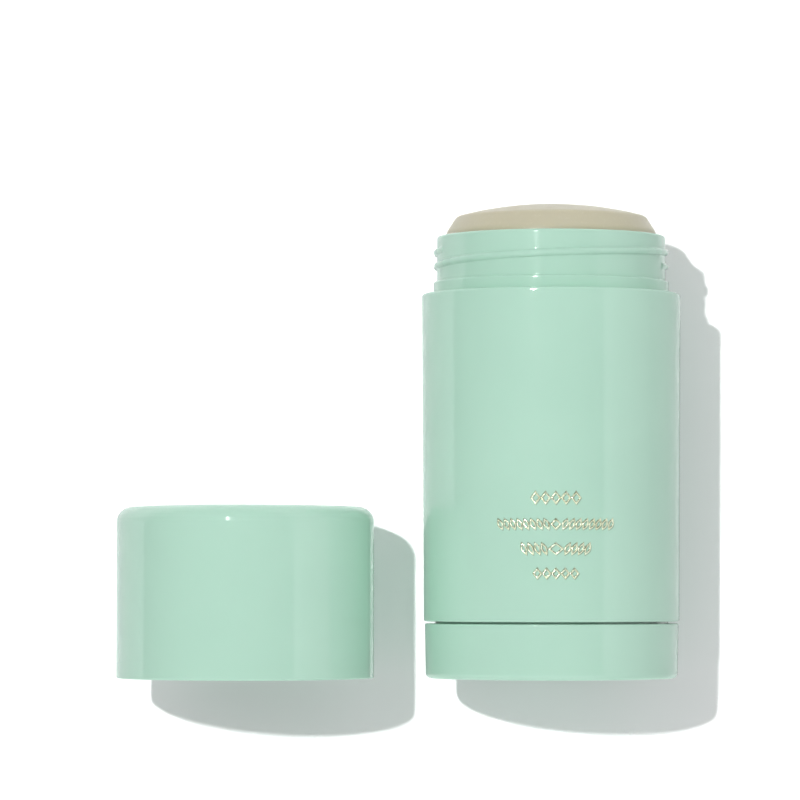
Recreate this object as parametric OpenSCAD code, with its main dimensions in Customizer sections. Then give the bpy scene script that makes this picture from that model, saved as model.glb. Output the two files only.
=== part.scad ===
// Round twist-up deodorant stick with its screw cap off and standing beside it, mouth down.
// An inner barrel with a screw neck stands in a thick outer sleeve. The dial at the foot turns a
// two-start lift screw, and the screw raises an elevator that carries the stick.
// Millimetres, +Z up. The origin is the middle of the dial's flat underside.

/* [Inner barrel] */
// Bore that the elevator and the stick slide in
bore_d = 41.8; // [38:0.2:46]
// Wall of the barrel and its neck
barrel_wall = 1.5; // [1.2:0.1:2]
// Height of the neck above the sleeve's shoulder
neck_h = 11.3; // [10.8:0.1:16]
// Radius on the outer edge of the neck's rim
rim_round = 0.5; // [0.3:0.1:0.9]
// How far the collar stands out from the neck
collar_step = 0.65; // [0.5:0.05:1.2]
// Height of the collar that shows above the shoulder
collar_h = 2.4; // [1.5:0.1:3]
// Depth of the collar inside the sleeve
collar_seat = 4; // [3:0.5:8]
// Height of the ring that stands on the sleeve's lip
foot_ring_h = 3; // [2:0.5:6]
// Thickness of the floor that carries the lift screw
floor_t = 1.6; // [1.2:0.1:2.4]
// How far the barrel's spigot reaches down into the dial
spigot_depth = 7.3; // [5:0.1:8]
// Number of upright keys in the bore
key_count = 4; // [2:1:6]
// Width of a key
key_w = 1.6; // [1.2:0.1:2.4]
// How far a key stands out from the bore
key_h = 0.8; // [0.5:0.05:1]
// Distance from the rim down to the top of the keys
key_below_rim = 7.5; // [6:0.5:12]

/* [Outer sleeve] */
// Height of the sleeve
sleeve_h = 64; // [55:0.1:90]
// Wall of the sleeve at its lower edge
sleeve_wall = 1.9; // [1.4:0.1:3]
// How much larger the sleeve's radius is at the shoulder
sleeve_flare = 0.35; // [0:0.05:0.6]
// Radius on the shoulder's outer edge
shoulder_round = 0.5; // [0.2:0.1:1]
// Height of the lip inside the lower edge
lip_h = 1.6; // [1:0.1:3]
// How far the lip reaches under the barrel's foot ring
lip_catch = 0.25; // [0.15:0.05:0.4]
// Height of the snap bead that holds the collar in the sleeve
bead_h = 0.2; // [0.1:0.05:0.3]

/* [Dial] */
// Height of the dial
dial_h = 10.7; // [9.5:0.1:16]
// Open seam between the dial and the sleeve
seam_gap = 0.4; // [0.2:0.1:0.8]
// How much smaller the dial's radius is than the sleeve's at the seam
dial_inset = 0.2; // [0:0.05:0.5]
// How much the dial's radius narrows towards its foot
dial_taper = 0.15; // [0:0.05:0.4]
// Radius on the dial's lower edge
dial_round = 1; // [0.4:0.1:2]
// Thickness of the dial's bottom
dial_floor = 1.6; // [1.2:0.1:2.5]
// Number of stiffening ribs inside the dial
dial_ribs = 8; // [4:1:12]

/* [Lift screw] */
// Rise of the elevator for one turn of the dial
screw_lead = 6; // [4:0.5:9]
// Outer diameter of the screw's thread
screw_d = 8.4; // [7:0.2:10]
// Depth of the screw's thread
screw_depth = 0.8; // [0.5:0.05:1]
// Diameter of the journal in the barrel's floor
journal_d = 10; // [9.6:0.2:13]
// Diameter of the thrust flange under the floor
flange_d = 17; // [15:0.5:22]
// Thickness of the thrust flange
flange_t = 1.6; // [1:0.1:2.2]

/* [Elevator] */
// Height from the elevator's foot to the top of its plate
elevator_h = 19.5; // [16:0.5:26]
// Thickness of the plate under the stick
plate_t = 1.8; // [1.2:0.1:3]
// Height of the rim around the foot of the stick
elevator_rim_h = 3; // [2:0.5:6]
// Wall of the elevator's skirt
skirt_wall = 1.2; // [1.1:0.1:2]
// Diameter of the nut's hub
hub_d = 13; // [12:0.5:16]
// Length of the thread in the nut
nut_h = 10; // [6:0.5:12]
// Number of fins that hold the stick
fin_count = 6; // [3:1:8]
// Height of the fins above the plate
fin_h = 6; // [4:0.5:9]

/* [Stick] */
// Height of the crown's middle above the neck's rim
stick_proud = 6.3; // [3:0.1:10]
// Radius of the crown's curve
crown_round = 72.5; // [60:0.5:200]
// Slope of the bevelled side from the upright, in degrees
bevel_slope = 33; // [20:1:40]
// Height above the rim at which the bevel starts
bevel_above_rim = 0.8; // [0:0.1:2]
// Radius between the stick's upright side and its bevel
foot_round = 2; // [0.5:0.1:3]
// Radius between the bevel and the crown
stick_round = 1.2; // [0.5:0.1:2.5]

/* [Neck and cap thread] */
// Rise of the thread for one turn
thread_lead = 5.5; // [4:0.1:7]
// How far a ridge stands out
ridge_h = 0.65; // [0.4:0.05:0.8]
// Width of a ridge at its foot
ridge_w = 1.5; // [1:0.1:1.8]
// Sweep of each ridge, in degrees
ridge_sweep = 216; // [120:4:240]
// Height above the shoulder at which a ridge on the neck starts
ridge_rise = 5.15; // [4.6:0.05:6]

/* [Cap] */
// Wall of the cap
cap_wall = 1.8; // [1.3:0.1:3]
// Thickness of the cap's top
cap_top = 2; // [1.4:0.1:4]
// Height of the cap at its middle
cap_h = 33.9; // [24:0.1:50]
// Radius of the faint crown of the cap's top
cap_crown = 580; // [300:10:1000]
// Radius on the cap's upper edge
cap_round = 3; // [1:0.1:5]
// Space between the sleeve and the cap that stands beside it
cap_apart = 9.35; // [5:0.05:40]

/* [Clearances] */
// Radial gap of pieces that are pushed together
fit_gap = 0.05; // [0.02:0.01:0.1]
// Radial gap of the screw's journal
journal_gap = 0.08; // [0.04:0.01:0.1]
// Gap between pieces that turn or slide past each other
run_gap = 0.3; // [0.2:0.05:0.4]
// Gap of the elevator's wiping beads in the bore
wiper_gap = 0.15; // [0.1:0.05:0.2]
// Gap all round the lift screw's thread
screw_gap = 0.25; // [0.15:0.05:0.3]
// Gap between the cap's bore and the collar
cap_gap = 0.35; // [0.25:0.05:0.5]

/* [Hidden] */
$fn = 96;
mint = [0.69, 0.86, 0.78];
natural = [0.93, 0.93, 0.90];
wax = [0.79, 0.77, 0.67];
// Overlap of shapes that are joined or cut, so that no two faces coincide
eps = 0.2;
// Small edge radius of the moulded pieces
edge = 0.3;
// Segments in a quarter-turn edge, in a crown and round a small hole
arc_steps = 6;
crown_steps = 10;
hole_fn = 32;
// Bearing of the first key
key_start = 45;
// Thickness of the fins, the webs and the dial's ribs
web_t = 1;

// Ridges of the neck and the cap. They start inside the wall, run in short sections and fade in
// and out. The three half widths are parts of the ridge's width, from its root to its crest.
root_sunk = 0.5;
ridge_start = -198;
ridge_step = 8;
fade_sections = 3;
fade_first = 0.8;
root_part = 0.66;
flank_part = 0.36;
crest_part = 0.13;
flank_top = 0.62;
// Distance from a ridge of the neck down to the cap's, in ridge widths
ridge_seat = 0.75;

// Radii, from the bore outwards
bore_r = bore_d / 2;
neck_r = bore_r + barrel_wall;
collar_r = neck_r + collar_step;
sleeve_bore_r = collar_r + fit_gap;
sleeve_r = sleeve_bore_r + sleeve_wall;
shoulder_r = sleeve_r + sleeve_flare;
spigot_r = collar_r - lip_catch;
dial_r = sleeve_r - dial_inset;
dial_bore_r = spigot_r + run_gap;
cap_bore_r = collar_r + cap_gap;
cap_r = cap_bore_r + cap_wall;
cap_x = -(shoulder_r + cap_apart + cap_r);

// Heights, from the dial's underside up
sleeve_z = dial_h + seam_gap;
lip_z = sleeve_z + lip_h;
shoulder_z = sleeve_z + sleeve_h;
collar_z = shoulder_z + collar_h;
rim_z = shoulder_z + neck_h;
floor_z = lip_z - floor_t;
spigot_z = dial_h - spigot_depth;
key_z = rim_z - key_below_rim;

// Lift screw. The half angles of the crest and the root of its thread are in degrees.
starts = 2;
slices_per_turn = 15;
screw_r = screw_d / 2;
core_r = screw_r - screw_depth;
journal_r = journal_d / 2;
crest_half = 20;
root_half = 38;
// Part of the thread's gap that its flanks keep
flank_gap = 0.75;
flange_z = floor_z - run_gap;
boss_z = flange_z - flange_t;
snap_z = lip_z + run_gap;
snap_h = 1.6;
snap_step = 0.5;
foot_r = 4.4;
foot_z = dial_floor + run_gap;
spline_count = 4;
spline_w = 1.4;
spline_r = 6;
boss_wall = 1.8;
// Distance from the boss's top down to the ribs
rib_drop = 2;
nut_z = snap_z + snap_h + 2 * run_gap;

// Elevator and stick at rest
elevator_z = lip_z + 2 * run_gap;
plate_z = elevator_z + elevator_h;
elevator_top = plate_z + elevator_rim_h;
lift = rim_z - elevator_top - run_gap;
// Height of a wiping bead, and its distance from the elevator's edge
wiper_h = 0.25;
wiper_z = 1.2;
web_h = 8;
skirt_r = bore_r - wiper_gap - wiper_h;
skirt_bore_r = skirt_r - skirt_wall;
clear_r = screw_r + 2 * screw_gap;
// Length of screw that stays above the nut at full lift
screw_spare = 1.2;
screw_top = nut_z + lift + nut_h + screw_spare;
tip_h = 1.6;
stick_r = bore_r - run_gap;
stick_top = rim_z + stick_proud;

function arc(x, y, r, a0, a1, n = arc_steps) =
    [for (i = [0:n]) let (a = a0 + (a1 - a0) * i / n) [x + r * cos(a), y + r * sin(a)]];

function reversed(points) = [for (i = [len(points) - 1:-1:0]) points[i]];

// Trapezoid bead on an upright wall, from its lower to its upper corner
function bead(r, z, h) = [[r, z - 3 * h], [r + h, z - h], [r + h, z + h], [r, z + 3 * h]];

module revolve(points) rotate_extrude() polygon(points);

// Ridge along a right-hand helix that stands out of an upright wall of radius r. Side is 1 for a
// ridge that stands outwards and -1 for one that stands inwards. It fades in and out at its ends,
// and its flanks start inside the wall.
module helical_ridge(r, side, h, w, z, start) {
    sections = ceil(ridge_sweep / ridge_step);
    half = [[-root_sunk, root_part * w], [flank_top * h, flank_part * w], [h, crest_part * w]];
    profile = concat([for (p = half) [p[0], -p[1]]], reversed(half));
    m = len(profile);
    points = [for (i = [0:sections]) let (
            a = start + ridge_sweep * i / sections,
            zi = z + thread_lead * ridge_sweep / 360 * i / sections,
            full = min(1, (min(i, sections - i) + fade_first) / fade_sections))
        for (p = profile) let (rr = r + side * (p[0] < 0 ? p[0] : p[0] * full))
        [rr * cos(a), rr * sin(a), zi + p[1]]];
    last = sections * m;
    skin = [for (i = [0:sections - 1], j = [0:m - 1]) let (
            a = i * m + j, b = i * m + (j + 1) % m)
        each [[a, b, a + m], [b, b + m, a + m]]];
    near = [for (j = [1:m - 2]) [0, j + 1, j]];
    far = [for (j = [1:m - 2]) [last, last + j, last + j + 1]];
    faces = concat(skin, near, far);
    polyhedron(points, side < 0 ? [for (f = faces) [f[0], f[2], f[1]]] : faces, convexity = 4);
}

module ridge_pair(r, side, h, w, z, start)
    for (s = [0, 180]) helical_ridge(r, side, h, w, z, start + s);

// Corners of the section across the lift thread, one lobe for each start. A lobe has a crest, two
// flanks and half of the root on its sides, and each corner is an angle and 1 on the crest.
function thread_section(grow, widen) =
    let (
        pitch = 360 / starts,
        crest = crest_half + widen,
        root = root_half + widen,
        rest = (pitch / 2 - root) / 2,
        lobe = [[-root, 0], [-crest, 1], [0, 1], [crest, 1], [root, 0],
                [root + rest, 0], [pitch / 2, 0], [pitch - root - rest, 0]])
    [for (s = [0:starts - 1], p = lobe)
        [p[0] + s * pitch, screw_r + grow - (1 - p[1]) * screw_depth]];

// Length of left-hand lift thread, in phase with every other length that this module makes. With a
// gap it is the hole for the thread, larger all round.
module lift_thread(z, h, gap = 0) {
    section = thread_section(gap, 360 * gap * flank_gap / screw_lead);
    m = len(section);
    slices = ceil(h / screw_lead * slices_per_turn);
    points = [for (i = [0:slices], p = section) let (
            zi = z + h * i / slices, a = p[0] - 360 * zi / screw_lead)
        [p[1] * cos(a), p[1] * sin(a), zi]];
    skin = [for (i = [0:slices - 1], j = [0:m - 1]) let (
            a = i * m + j, b = i * m + (j + 1) % m)
        each [[a, a + m, b + m], [a, b + m, b]]];
    polyhedron(points, concat(skin,
        [[for (j = [0:m - 1]) j], [for (j = [m - 1:-1:0]) slices * m + j]]), convexity = 6);
}

module keys(w, inner_r, outer_r, z, top)
    for (k = [0:key_count - 1]) rotate(key_start + 360 * k / key_count)
        translate([inner_r, -w / 2, z]) cube([outer_r - inner_r, w, top - z]);

module outer_sleeve() color(mint)
    revolve(concat(
        [[spigot_r + fit_gap, sleeve_z]],
        arc(sleeve_r - edge, sleeve_z + edge, edge, -90, 0),
        arc(shoulder_r - shoulder_round, shoulder_z - shoulder_round, shoulder_round, 0, 90),
        [[sleeve_bore_r + edge, shoulder_z], [sleeve_bore_r, shoulder_z - edge]],
        reversed(bead(sleeve_bore_r, shoulder_z - collar_seat / 2, bead_h)),
        [[sleeve_bore_r, lip_z], [spigot_r + fit_gap, lip_z]]));

module inner_barrel() color(mint) {
    union() {
        revolve(concat(
            [[bore_r, spigot_z], [spigot_r - edge, spigot_z], [spigot_r, spigot_z + edge],
             [spigot_r, lip_z], [collar_r, lip_z], [collar_r, lip_z + foot_ring_h],
             [neck_r, lip_z + foot_ring_h + collar_step],
             [neck_r, shoulder_z - collar_seat - collar_step], [collar_r, shoulder_z - collar_seat]],
            bead(collar_r, shoulder_z - collar_seat / 2, bead_h),
            arc(collar_r - edge, collar_z - edge, edge, 0, 90),
            [[neck_r, collar_z]],
            arc(neck_r - rim_round, rim_z - rim_round, rim_round, 0, 90),
            arc(bore_r + edge, rim_z - edge, edge, 90, 180),
            [[bore_r, lip_z], [journal_r + journal_gap, lip_z],
             [journal_r + journal_gap, floor_z], [bore_r, floor_z]]));
        keys(key_w, bore_r - key_h, bore_r + barrel_wall / 2, lip_z - floor_t / 2, key_z);
        ridge_pair(neck_r, 1, ridge_h, ridge_w, shoulder_z + ridge_rise, ridge_start);
    }
}

module base_dial() color(mint) {
    boss_r = spline_r + boss_wall;
    rib_end = bore_r - 2 * run_gap;
    rib_z = boss_z - rib_drop;
    difference() {
        union() {
            revolve(concat(
                [[0, 0]],
                arc(dial_r - dial_taper - dial_round, dial_round, dial_round, -90, 0),
                arc(dial_r - edge, dial_h - edge, edge, 0, 90),
                [[dial_bore_r, dial_h], [dial_bore_r, dial_floor + edge],
                 [dial_bore_r - edge, dial_floor], [boss_r, dial_floor], [boss_r, boss_z],
                 [0, boss_z]]));
            for (k = [0:dial_ribs - 1]) rotate(360 * k / dial_ribs) {
                translate([boss_r - eps, -web_t / 2, dial_floor - eps])
                    cube([rib_end - boss_r + eps, web_t, rib_z - dial_floor + eps]);
                translate([boss_r - eps, -web_t / 2, dial_floor - eps])
                    cube([dial_bore_r - boss_r + 2 * eps, web_t, spigot_z - run_gap - dial_floor + eps]);
            }
        }
        translate([0, 0, dial_floor]) cylinder(r = foot_r + fit_gap, h = boss_z - dial_floor + eps);
        splines(fit_gap, dial_floor, boss_z + eps);
    }
}

// Drive splines of the screw's foot, or the slots for them where they are grown by a gap
module splines(gap, z, top)
    for (k = [0:spline_count - 1]) rotate(360 * k / spline_count)
        translate([0, -spline_w / 2 - gap, z]) cube([spline_r + gap, spline_w + 2 * gap, top - z]);

module screw_spindle() color(natural)
    union() {
        revolve([[0, foot_z], [foot_r - edge, foot_z], [foot_r, foot_z + edge], [foot_r, boss_z],
            [flange_d / 2, boss_z], [flange_d / 2, flange_z], [journal_r, flange_z],
            [journal_r, snap_z], [journal_r + snap_step, snap_z + edge],
            [core_r, snap_z + snap_h], [0, snap_z + snap_h]]);
        splines(0, foot_z, boss_z + flange_t / 2);
        lift_thread(snap_z + edge, screw_top - snap_z - edge);
        translate([0, 0, screw_top - eps])
            cylinder(r1 = core_r - edge, r2 = core_r - tip_h, h = tip_h + eps);
    }

module fins() {
    fin_l = skirt_bore_r - web_t - hub_d / 2;
    for (k = [0:fin_count - 1]) rotate(360 * k / fin_count)
        translate([hub_d / 2, -web_t / 2, plate_z - eps]) difference() {
            cube([fin_l, web_t, fin_h + eps]);
            translate([fin_l / 2, -web_t, eps + fin_h / 2])
                rotate([-90, 0, 0]) cylinder(d = fin_h / 2, h = 3 * web_t, $fn = hole_fn);
        }
}

module elevator() color(natural)
    difference() {
        union() {
            revolve(concat(
                [[0, nut_z], [hub_d / 2, nut_z], [hub_d / 2, plate_z - plate_t],
                 [skirt_bore_r, plate_z - plate_t], [skirt_bore_r, elevator_z], [skirt_r, elevator_z]],
                bead(skirt_r, elevator_z + wiper_z, wiper_h),
                bead(skirt_r, elevator_top - wiper_z, wiper_h),
                [[skirt_r, elevator_top], [skirt_bore_r, elevator_top], [skirt_bore_r, plate_z],
                 [0, plate_z]]));
            fins();
            for (k = [0:fin_count - 1]) rotate(360 * k / fin_count)
                translate([hub_d / 2 - eps, -web_t / 2, plate_z - plate_t - web_h])
                    cube([skirt_bore_r - hub_d / 2 + 2 * eps, web_t, web_h + eps]);
        }
        lift_thread(nut_z - eps, nut_h + 2 * eps, screw_gap);
        translate([0, 0, nut_z + nut_h])
            cylinder(r = clear_r, h = plate_z + eps - nut_z - nut_h);
        keys(key_w + 2 * run_gap, bore_r - key_h - run_gap, bore_r + eps,
             elevator_z - eps, elevator_top + eps);
    }

// Arcs that touch both sides join the bevel to the crown and to the upright side below it
module deodorant_stick() color(wax) {
    out = [cos(bevel_slope), sin(bevel_slope)];
    up = [-sin(bevel_slope), cos(bevel_slope)];
    crown_z = stick_top - crown_round;
    foot = [stick_r, rim_z + bevel_above_rim];
    w = foot - stick_round * out - [0, crown_z];
    reach = -(w * up) + sqrt(pow(w * up, 2) - w * w + pow(crown_round - stick_round, 2));
    mid = w + reach * up;
    turn = atan2(mid[1], mid[0]);
    difference() {
        revolve(concat(
            [[0, plate_z], [skirt_bore_r, plate_z], [skirt_bore_r, elevator_top],
             [stick_r, elevator_top]],
            arc(stick_r - foot_round, foot[1] - foot_round * tan(bevel_slope / 2), foot_round,
                0, bevel_slope),
            arc(mid[0], mid[1] + crown_z, stick_round, bevel_slope, turn),
            arc(0, crown_z, crown_round, turn, 90, crown_steps)));
        translate([0, 0, plate_z - eps])
            cylinder(r = clear_r, h = screw_top + tip_h + run_gap - plate_z + eps);
        keys(key_w + 2 * run_gap, bore_r - key_h - run_gap, bore_r + eps,
             elevator_top - eps, key_z + run_gap);
        fins();
    }
}

module cap() color(mint) translate([cap_x, 0, 0]) {
    inner_round = cap_round - cap_wall / 2;
    crown_z = cap_h - cap_crown;
    round_x = cap_r - cap_round;
    round_z = crown_z + sqrt(pow(cap_crown - cap_round, 2) - pow(round_x, 2));
    turn = atan2(round_z - crown_z, round_x);
    union() {
        revolve(concat(
            [[cap_bore_r, edge], [cap_bore_r + edge, 0]],
            arc(cap_r - edge, edge, edge, -90, 0),
            arc(round_x, round_z, cap_round, 0, turn),
            arc(0, crown_z, cap_crown, turn, 90, crown_steps),
            [[0, cap_h - cap_top]],
            arc(cap_bore_r - inner_round, cap_h - cap_top - inner_round, inner_round, 90, 0)));
        ridge_pair(cap_bore_r, -1, cap_bore_r - neck_r - run_gap, ridge_w,
                   ridge_rise - ridge_seat * ridge_w, ridge_start);
    }
}

outer_sleeve();
inner_barrel();
base_dial();
screw_spindle();
elevator();
deodorant_stick();
cap();
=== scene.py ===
"""Looks of the twist-up deodorant stick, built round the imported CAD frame. Metres, +Z up."""

import math

import bmesh
import bpy
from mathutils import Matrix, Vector


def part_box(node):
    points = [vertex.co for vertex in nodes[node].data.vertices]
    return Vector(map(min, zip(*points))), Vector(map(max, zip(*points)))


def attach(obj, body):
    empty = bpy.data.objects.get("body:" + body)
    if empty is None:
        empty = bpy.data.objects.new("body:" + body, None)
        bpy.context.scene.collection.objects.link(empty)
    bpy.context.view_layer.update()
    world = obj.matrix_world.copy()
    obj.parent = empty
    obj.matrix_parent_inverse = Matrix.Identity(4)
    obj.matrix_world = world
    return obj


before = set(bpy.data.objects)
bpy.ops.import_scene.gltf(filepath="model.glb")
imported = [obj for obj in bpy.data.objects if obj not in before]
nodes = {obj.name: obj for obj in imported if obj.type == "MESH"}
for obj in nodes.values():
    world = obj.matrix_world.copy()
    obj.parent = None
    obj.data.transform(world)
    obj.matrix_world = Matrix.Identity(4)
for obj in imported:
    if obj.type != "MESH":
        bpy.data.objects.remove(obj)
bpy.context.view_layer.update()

MM = 0.001

MINT_NODES = ("outer_sleeve", "inner_barrel", "base_dial", "cap")
NATURAL_NODES = ("screw_spindle", "elevator")
WAX_NODES = ("deodorant_stick",)


# Shader nodes

class Shader:
    """The node tree of a material or of the world, with short calls for the nodes used here."""

    def __init__(self, owner):
        owner.use_nodes = True
        self.owner = owner
        self.tree = owner.node_tree
        self.tree.nodes.clear()

    def feed(self, socket, value):
        """Links a socket of another node to this socket, or sets it to a plain value."""
        if hasattr(value, "is_output"):
            self.tree.links.new(value, socket)
        else:
            socket.default_value = value

    def node(self, kind, *values, **named):
        """New node. The values feed its sockets in order. A keyword with a capital letter feeds the
        socket of that name, and one without is a setting of the node."""
        made = self.tree.nodes.new(kind)
        for name, value in named.items():
            if name[0].islower():
                setattr(made, name, value)
        for socket, value in zip(made.inputs, values):
            self.feed(socket, value)
        for name, value in named.items():
            if name[0].isupper():
                self.feed(made.inputs[name.replace("_", " ")], value)
        return made

    def first(self, kind, *values, **named):
        """First output of a new node."""
        return self.node(kind, *values, **named).outputs[0]

    def math(self, operation, *values):
        return self.first("ShaderNodeMath", *values, operation=operation)

    def any_of(self, *values):
        """1 where at least one of the values is 1."""
        result = values[0]
        for value in values[1:]:
            result = self.math("MAXIMUM", result, value)
        return result

    def ramp(self, value, start, end, low, high):
        """Low where the value is start or less, high where it is end or more, and even between."""
        return self.first("ShaderNodeMapRange", value, start, end, low, high)

    def ray(self, *kinds):
        """1 for rays of at least one of these kinds: Camera, Glossy, Transmission."""
        paths = self.node("ShaderNodeLightPath").outputs
        return self.any_of(*(paths["Is %s Ray" % kind] for kind in kinds))

    def noise(self, scale, detail, stretch=(1, 1, 1), distortion=0.0):
        place = self.node("ShaderNodeTexCoord").outputs["Object"]
        stretched = self.first("ShaderNodeMapping", Vector=place, Scale=stretch)
        return self.first("ShaderNodeTexNoise", Vector=stretched, Scale=scale, Detail=detail,
                          Distortion=distortion)

    def between(self, noise, low, high, start=0.3, end=0.7):
        """Values from low to high, over the part of the noise from start to end."""
        return self.ramp(noise, start, end, low, high)

    def mix(self, factor, first, second):
        """Colour between two colours."""
        node = self.node("ShaderNodeMix", factor, data_type="RGBA")
        colour_a, colour_b = [s for s in node.inputs if s.type == "RGBA"]
        self.feed(colour_a, first)
        self.feed(colour_b, second)
        return [s for s in node.outputs if s.type == "RGBA"][0]

    def bump(self, height, strength, distance, **normal):
        return self.first("ShaderNodeBump", Height=height, Strength=strength, Distance=distance, **normal)

    def principled(self, **sockets):
        return self.first("ShaderNodeBsdfPrincipled", **sockets)

    def surface(self, shader):
        """Gives the material this shader, and returns the material."""
        self.node("ShaderNodeOutputMaterial", shader)
        return self.owner


def new_material(name):
    return Shader(bpy.data.materials.new(name))


def rgba(r, g, b):
    return (r, g, b, 1.0)


# Materials of the object

PLASTIC_IOR = 1.49
WAX_IOR = 1.45
EDGE_ROUNDING = 0.00035


def mint_plastic():
    """Polished polypropylene: faint flow mottling, a trace of orange peel and a few hairline scuffs.
    Its edges shade as if they were rounded a little more than the solid's."""
    t = new_material("mint_plastic")
    mottle = t.between(t.noise(scale=45, detail=3), 0, 1)
    scuffs = t.noise(scale=700, detail=4, stretch=(1, 1, 0.12), distortion=0.6)
    rounded = t.first("ShaderNodeBevel", samples=4, Radius=EDGE_ROUNDING)
    peel = t.bump(t.noise(scale=260, detail=2), strength=0.04, distance=0.00012, Normal=rounded)
    fine = t.bump(t.noise(scale=2600, detail=3), strength=0.05, distance=0.00003, Normal=peel)
    return t.surface(t.principled(
        Base_Color=t.mix(mottle, rgba(0.461, 0.712, 0.584), rgba(0.481, 0.738, 0.605)),
        Roughness=t.between(scuffs, 0.045, 0.10, start=0.35, end=0.75),
        IOR=PLASTIC_IOR, Normal=fine,
        Subsurface_Weight=0.06, Subsurface_Radius=(0.6, 1.0, 0.8), Subsurface_Scale=0.001))


def natural_plastic():
    """Unpigmented polypropylene of the pieces inside: milky and slightly satin."""
    t = new_material("natural_plastic")
    cloud = t.between(t.noise(scale=90, detail=3), 0, 1)
    return t.surface(t.principled(
        Base_Color=t.mix(cloud, rgba(0.78, 0.79, 0.74), rgba(0.86, 0.86, 0.82)),
        Roughness=t.between(t.noise(scale=800, detail=3), 0.26, 0.38),
        IOR=PLASTIC_IOR,
        Normal=t.bump(t.noise(scale=1900, detail=3), strength=0.12, distance=0.00006),
        Subsurface_Weight=0.2, Subsurface_Radius=(1.0, 1.0, 0.9), Subsurface_Scale=0.0015))


def wax():
    """The stick: a cast waxy bar, with soft drag marks over its crown and fine pores."""
    t = new_material("stick_wax")
    cloud = t.between(t.noise(scale=55, detail=3, stretch=(1, 1, 2.2)), 0, 1)
    base = t.mix(cloud, rgba(0.556, 0.522, 0.380), rgba(0.582, 0.548, 0.409))
    speck = t.between(t.noise(scale=1500, detail=2), 0, 0.35, start=0.6, end=0.8)
    drag = t.bump(t.noise(scale=150, detail=2, stretch=(1, 5, 1)), strength=0.05, distance=0.0004)
    pores = t.bump(t.noise(scale=1700, detail=3), strength=0.14, distance=0.00008, Normal=drag)
    return t.surface(t.principled(
        Base_Color=t.mix(speck, base, rgba(0.68, 0.65, 0.53)),
        Roughness=t.between(t.noise(scale=320, detail=3), 0.30, 0.40),
        IOR=WAX_IOR, Normal=pores,
        Subsurface_Weight=0.25, Subsurface_Radius=(1.0, 0.85, 0.55), Subsurface_Scale=0.002))


def gold_foil():
    """Hot-stamped pale champagne gold: metal with small dents and slightly broken gloss."""
    t = new_material("gold_foil")
    cloud = t.between(t.noise(scale=900, detail=3), 0, 1)
    return t.surface(t.principled(
        Base_Color=t.mix(cloud, rgba(0.66, 0.68, 0.46), rgba(0.84, 0.90, 0.70)),
        Metallic=0.8,
        Roughness=t.between(t.noise(scale=1800, detail=3), 0.16, 0.34),
        Normal=t.bump(t.noise(scale=1300, detail=2), strength=0.35, distance=0.00008)))


def foil_edge():
    """Painted shadow: a darker mint beside a stroke of the foil, on the side away from the light."""
    t = new_material("foil_edge")
    cloud = t.between(t.noise(scale=900, detail=3), 0, 1)
    return t.surface(t.principled(
        Base_Color=t.mix(cloud, rgba(0.25, 0.37, 0.28), rgba(0.31, 0.44, 0.33)),
        Roughness=t.between(t.noise(scale=1800, detail=3), 0.3, 0.45),
        IOR=PLASTIC_IOR,
        Normal=t.bump(t.noise(scale=1900, detail=3), strength=0.12, distance=0.00004)))


# The second material is the painted shadow beside the foil's strokes.
GOLD, FOIL_SHADOW = gold_foil(), foil_edge()

for names, material in (
    (MINT_NODES, mint_plastic()), (NATURAL_NODES, natural_plastic()), (WAX_NODES, wax()),
):
    for name in names:
        for slot in nodes[name].material_slots:
            slot.material = material


# Gold foil motif on the sleeve: four centred rows of leaves and lozenges. Lengths here are in mm.

sleeve_low, sleeve_high = (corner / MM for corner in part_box("outer_sleeve"))
SLEEVE_Z = sleeve_low.z
SLEEVE_HEIGHT = sleeve_high.z - sleeve_low.z
SHOULDER_R = sleeve_high.x
SLEEVE_FLARE = 0.35           # how much smaller the radius is at the lower edge

STROKE = 0.40                 # width of a stroke
RELIEF = 0.09                 # height of its top above the sleeve
TOP_SHARE = 0.62              # width of its top, as a share of the stroke
FOOT = -0.02                  # height of its foot, just under the sleeve's skin
SECTION = ((1, FOOT), (TOP_SHARE, RELIEF), (-TOP_SHARE, RELIEF), (-1, FOOT))
MITRE_LIMIT = 0.45            # keeps sharp corners from reaching far out

AWAY = Vector((0.72, -0.69))  # away from the light, round the sleeve and up
SHADOW_WIDTH = 0.17                # width of the painted shadow on that side of a stroke
SHADOW_HEIGHT = 0.012        # height of the painted shadow, just above the sleeve's skin
LEAST_AWAY = 0.15             # sides that face away by less have no painted shadow

LEAF_STEPS = 7                # from tip to tip
LEAF_WIDTH = 0.86
LEAF_SHARE = 0.96             # height of a leaf, as a share of the row
LEAF_SLANT = math.radians(24)
FIRST_LEAF = 0.72             # place of the first leaf beside the middle lozenge, in pitches
LOZENGE_STEPS = 3             # along each side


def on_sleeve(u, z, h):
    """Point on the sleeve's outside, in metres: u mm round from the front, z mm above its lower edge
    and h mm proud."""
    r = SHOULDER_R - (1 - z / SLEEVE_HEIGHT) * SLEEVE_FLARE
    a = u / r
    return Vector(((r + h) * math.sin(a), -(r + h) * math.cos(a), SLEEVE_Z + z)) * MM


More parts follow.
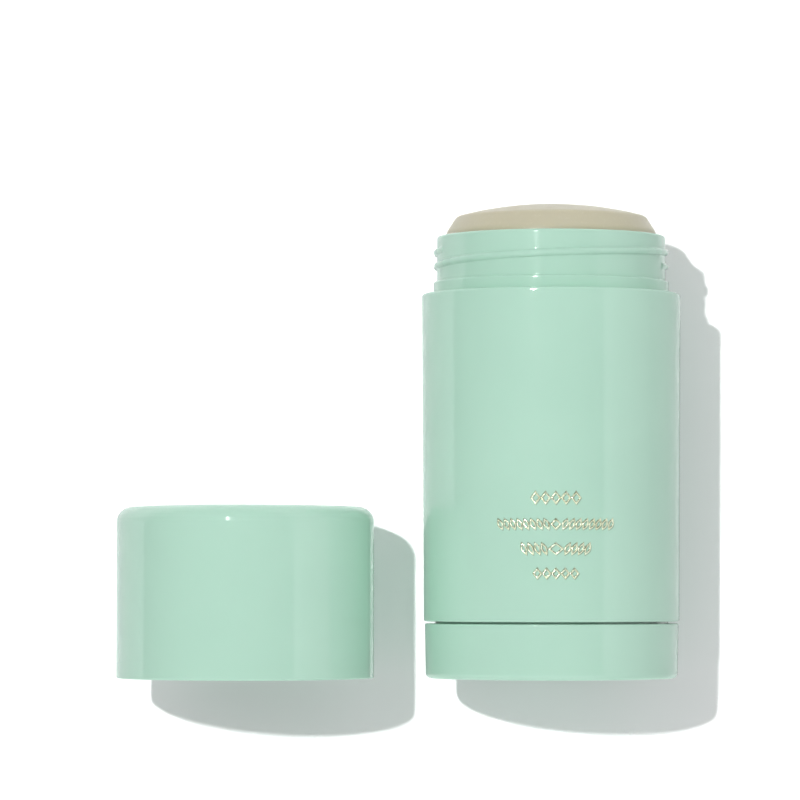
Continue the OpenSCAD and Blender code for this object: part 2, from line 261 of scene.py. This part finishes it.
def outline(foil, shade, points):
    """Raised stroke along a closed outline, with sloping sides, and in the second mesh a painted
    shadow of darker mint along the sides of it that face away from the light."""
    n = len(points)
    rings = []
    shadow_rows = {1: [], -1: []}
    for i in range(n):
        last, here, following = (Vector(points[(i + k) % n]) for k in (-1, 0, 1))
        before, after = (here - last).normalized(), (following - here).normalized()
        bisector = (before + after).normalized()
        side = Vector((bisector.y, -bisector.x))
        reach = STROKE / 2 / max(MITRE_LIMIT, bisector.dot(after))
        rings.append([foil.verts.new(on_sleeve(*(here + side * reach * k), h)) for k, h in SECTION])
        for k, row in shadow_rows.items():
            away = k * side.dot(AWAY)
            if away > LEAST_AWAY:
                rim = here + side * reach * k + AWAY * SHADOW_WIDTH * away
                row.append([shade.verts.new(on_sleeve(*point, SHADOW_HEIGHT)) for point in (here, rim)])
            else:
                row.append(None)
    for i in range(n):
        a, b = rings[i], rings[(i + 1) % n]
        for k in range(len(SECTION)):
            m = (k + 1) % len(SECTION)
            foil.faces.new((a[k], a[m], b[m], b[k]))
        for row in shadow_rows.values():
            c, d = row[i], row[(i + 1) % n]
            if c and d:
                shade.faces.new((c[0], c[1], d[1], d[0]))


def leaf(u, z, length, width, slant):
    """Outline of an upright leaf round u, z, leaning over by the slant."""
    half = [(-length / 2 + length * i / LEAF_STEPS, width / 2 * math.sin(math.pi * i / LEAF_STEPS))
            for i in range(LEAF_STEPS + 1)]
    loop = half + [(x, -y) for x, y in half[-2:0:-1]]
    c, s = math.cos(slant), math.sin(slant)
    return [(u + x * s + y * c, z + x * c - y * s) for x, y in loop]


def lozenge(u, z, w, h):
    """Outline of a lozenge round u, z."""
    corners = [(-w / 2, 0), (0, h / 2), (w / 2, 0), (0, -h / 2)]
    loop = []
    for (x0, y0), (x1, y1) in zip(corners, corners[1:] + corners[:1]):
        loop += [(x0 + (x1 - x0) * k / LOZENGE_STEPS, y0 + (y1 - y0) * k / LOZENGE_STEPS)
                 for k in range(LOZENGE_STEPS)]
    return [(u + x, z + y) for x, y in loop]


def chain(z, pitch, count, width, height):
    """Lozenges side by side."""
    return [lozenge((i - count // 2) * pitch, z, width, height) for i in range(count)]


def sprig(z, pitch, count, height, middle):
    """Leaves that lean out from a middle lozenge, as many as the count on each side."""
    length = height / math.cos(LEAF_SLANT) * LEAF_SHARE
    shapes = [lozenge(0, z, middle, height)]
    for side in (-1, 1):
        for i in range(count):
            u = side * (middle / 2 + pitch * (i + FIRST_LEAF))
            shapes.append(leaf(u, z, length, LEAF_WIDTH, side * LEAF_SLANT))
    return shapes


def on_barrel(name, bm, material):
    """Makes the mesh a piece that moves with the barrel."""
    bmesh.ops.recalc_face_normals(bm, faces=bm.faces)
    mesh = bpy.data.meshes.new(name)
    bm.to_mesh(mesh)
    bm.free()
    mesh.materials.append(material)
    for polygon in mesh.polygons:
        polygon.use_smooth = True
    obj = bpy.data.objects.new(name, mesh)
    bpy.context.scene.collection.objects.link(obj)
    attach(obj, "barrel")


def foil_row(name, shapes):
    foil, shade = bmesh.new(), bmesh.new()
    for shape in shapes:
        outline(foil, shade, shape)
    on_barrel(name, foil, GOLD)
    # The dark mint strips beside the strokes are their painted shadow.
    on_barrel(name + "_edge", shade, FOIL_SHADOW)


foil_row("foil_row_top", chain(z=23.7, pitch=1.95, count=5, width=1.6, height=2.15))
foil_row("foil_row_long", sprig(z=18.7, pitch=1.3, count=8, height=1.85, middle=1.7))
foil_row("foil_row_middle", sprig(z=14.0, pitch=1.3, count=4, height=2.05, middle=2.6))
foil_row("foil_row_low", chain(z=9.3, pitch=1.78, count=5, width=1.45, height=1.8))


# Floor and backdrop, which are not part of the object

STAGE_COLOUR = rgba(0.82, 0.83, 0.835)
FLOOR_MIRRORED = rgba(0.95, 0.955, 0.96)
BACKDROP_MIRRORED = rgba(0.64, 0.645, 0.65)
FLOOR_GLOW = 0.26             # what the floor glows by where it is seen
EDGE_ON = 0.915               # facing of a sheet that is looked along at about five degrees
FLOOR_Z = -0.00003            # clear of the faces that stand on it
FLOOR_REACH = 0.6             # from the barrel's axis to each side of the floor
BACKDROP_GAP = 0.00025        # between the sleeve's shoulder and the backdrop
BACKDROP_Y = SHOULDER_R * MM + BACKDROP_GAP
BACKDROP_LEFT, BACKDROP_RIGHT = -0.3, 0.6
BACKDROP_LOW, BACKDROP_HIGH = -0.3, 0.4


def sheet(name, corners, material):
    mesh = bpy.data.meshes.new(name)
    mesh.from_pydata(corners, [], [range(len(corners))])
    mesh.materials.append(material)
    obj = bpy.data.objects.new(name, mesh)
    bpy.context.scene.collection.objects.link(obj)
    obj.visible_shadow = False
    obj.visible_diffuse = False
    return obj


def from_behind(t):
    return t.node("ShaderNodeNewGeometry").outputs["Backfacing"]


def edge_on(t):
    """1 where the sheet is looked along, straight or in a gloss."""
    facing = t.node("ShaderNodeLayerWeight", Blend=0.5).outputs["Facing"]
    return t.math("MULTIPLY", t.math("GREATER_THAN", facing, EDGE_ON), t.ray("Camera", "Glossy"))


def edge_on_or_behind(t):
    return t.any_of(edge_on(t), from_behind(t))


def stage_white(name, mirrored_colour, clear, glow=0.0):
    """Matt white that takes the object's shadow. In a gloss it has its mirrored colour. Clear makes a
    socket that is 1 where the sheet is looked through."""
    t = new_material(name)
    white = t.principled(
        Base_Color=t.mix(t.ray("Glossy"), STAGE_COLOUR, mirrored_colour), Roughness=0.9,
        Emission_Color=rgba(1, 1, 1),
        Emission_Strength=t.math("MULTIPLY", t.ray("Camera", "Glossy", "Transmission"), glow))
    return t.surface(t.first("ShaderNodeMixShader", clear(t), white, t.first("ShaderNodeBsdfTransparent")))


floor = sheet(
    "floor",
    [(x * FLOOR_REACH, y * FLOOR_REACH, FLOOR_Z) for x, y in ((-1, -1), (1, -1), (1, 1), (-1, 1))],
    stage_white("floor_white", FLOOR_MIRRORED, edge_on_or_behind, FLOOR_GLOW))
backdrop = sheet(
    "backdrop",
    [(BACKDROP_LEFT, BACKDROP_Y, BACKDROP_LOW), (BACKDROP_RIGHT, BACKDROP_Y, BACKDROP_LOW),
     (BACKDROP_RIGHT, BACKDROP_Y, BACKDROP_HIGH), (BACKDROP_LEFT, BACKDROP_Y, BACKDROP_HIGH)],
    stage_white("backdrop_white", BACKDROP_MIRRORED, from_behind))


# The studio: even white light that falls off towards both sides and the ground. In the gloss the
# studio is dark round the viewer, between two bearings, and white beyond them.

AMBIENT = 0.975               # strength of the light from straight in front and from above
SIDES = 0.72                  # how much of it is gone at either side
DOWNWARDS = 0.2               # how much of it is gone straight below
FROM_FLOOR = 0.62             # what the floor sends back from straight below
FROM_FLOOR_TOP = -0.6         # z of the direction above which none of that comes
GLOSS_DARK = 0.05             # strength of the dark part in the gloss
GLOSS_RIGHT = math.radians(45.5)    # its two edges, measured from the viewer towards +X
GLOSS_LEFT = math.radians(-104)
RIGHT_BLUR = 0.012            # half widths of the edges, in radians
LEFT_BLUR = 0.06

bpy.context.scene.world = bpy.data.worlds.new("studio")
studio = Shader(bpy.context.scene.world)
generated = studio.node("ShaderNodeTexCoord").outputs["Generated"]
direction = studio.node("ShaderNodeSeparateXYZ", generated).outputs
azimuth = studio.math("ARCTAN2", direction["X"], studio.math("MULTIPLY", direction["Y"], -1.0))
right = studio.ramp(azimuth, GLOSS_RIGHT - RIGHT_BLUR, GLOSS_RIGHT + RIGHT_BLUR, 0.0, 1.0)
left = studio.ramp(azimuth, GLOSS_LEFT - LEFT_BLUR, GLOSS_LEFT + LEFT_BLUR, 1.0, 0.0)
mirrored = studio.ramp(studio.any_of(right, left), 0.0, 1.0, GLOSS_DARK, 1.0)

sideways = studio.math("POWER", direction["X"], 2.0)
level = studio.math("MULTIPLY_ADD", sideways, -SIDES, AMBIENT)
lower = studio.ramp(direction["Z"], -1.0, 0.0, -DOWNWARDS, 0.0)
below = studio.ramp(direction["Z"], -1.0, FROM_FLOOR_TOP, FROM_FLOOR, 0.0)
light = studio.math("ADD", studio.math("ADD", level, lower), below)


def white(strength):
    return studio.first("ShaderNodeBackground", rgba(1, 1, 1), strength)


straight = studio.first("ShaderNodeMixShader", studio.ray("Camera", "Transmission"), white(light), white(1.0))
shown = studio.first("ShaderNodeMixShader", studio.ray("Glossy"), straight, white(mirrored))
studio.node("ShaderNodeOutputWorld", shown)


# Lamps, all at one place on the upper left: the key, one more for the floor and backdrop alone, so
# that they are white behind an object lit at a plain level, and one that adds only gloss to the mint.

LAMP_PLACE = (-0.369, -1.198, 0.288)


def lamp(name, watts, radius):
    data = bpy.data.lights.new(name, "POINT")
    data.energy = watts
    data.shadow_soft_size = radius
    obj = bpy.data.objects.new(name, data)
    obj.location = LAMP_PLACE
    obj.visible_camera = False
    bpy.context.scene.collection.objects.link(obj)
    return obj


def lit_only(obj, name, receivers):
    """The lamp lights nothing but these objects."""
    group = bpy.data.collections.new(name)
    for receiver in receivers:
        group.objects.link(receiver)
    obj.light_linking.receiver_collection = group


lamp("key", watts=17, radius=0.017)
lit_only(lamp("backdrop_key", watts=58, radius=0.017), "backdrop_only", (floor, backdrop))
glint = lamp("glint", watts=75, radius=0.03)
glint.visible_diffuse = False
lit_only(glint, "gloss_only", [nodes[name] for name in MINT_NODES])


# Camera at the photograph's viewing angle

SENSOR = 36                   # mm
CAMERA_PLACE = Vector((-0.02965, -0.880, 0.0190))
CAMERA_AIM = Vector((-0.02965, 0, 0.0544))
SEEN_WIDTH = 0.15668          # width of the picture in the plane through the barrel's axis

camera = bpy.data.cameras.new("camera")
camera.sensor_width = SENSOR
camera.lens = SENSOR * (CAMERA_AIM.y - CAMERA_PLACE.y) / SEEN_WIDTH
camera.clip_start = 0.05
camera.clip_end = 20
viewer = bpy.data.objects.new("camera", camera)
viewer.location = CAMERA_PLACE
viewer.rotation_mode = "QUATERNION"
viewer.rotation_quaternion = (CAMERA_AIM - CAMERA_PLACE).to_track_quat("-Z", "Y")
bpy.context.scene.collection.objects.link(viewer)
bpy.context.scene.camera = viewer
bpy.context.scene.view_settings.view_transform = "Standard"
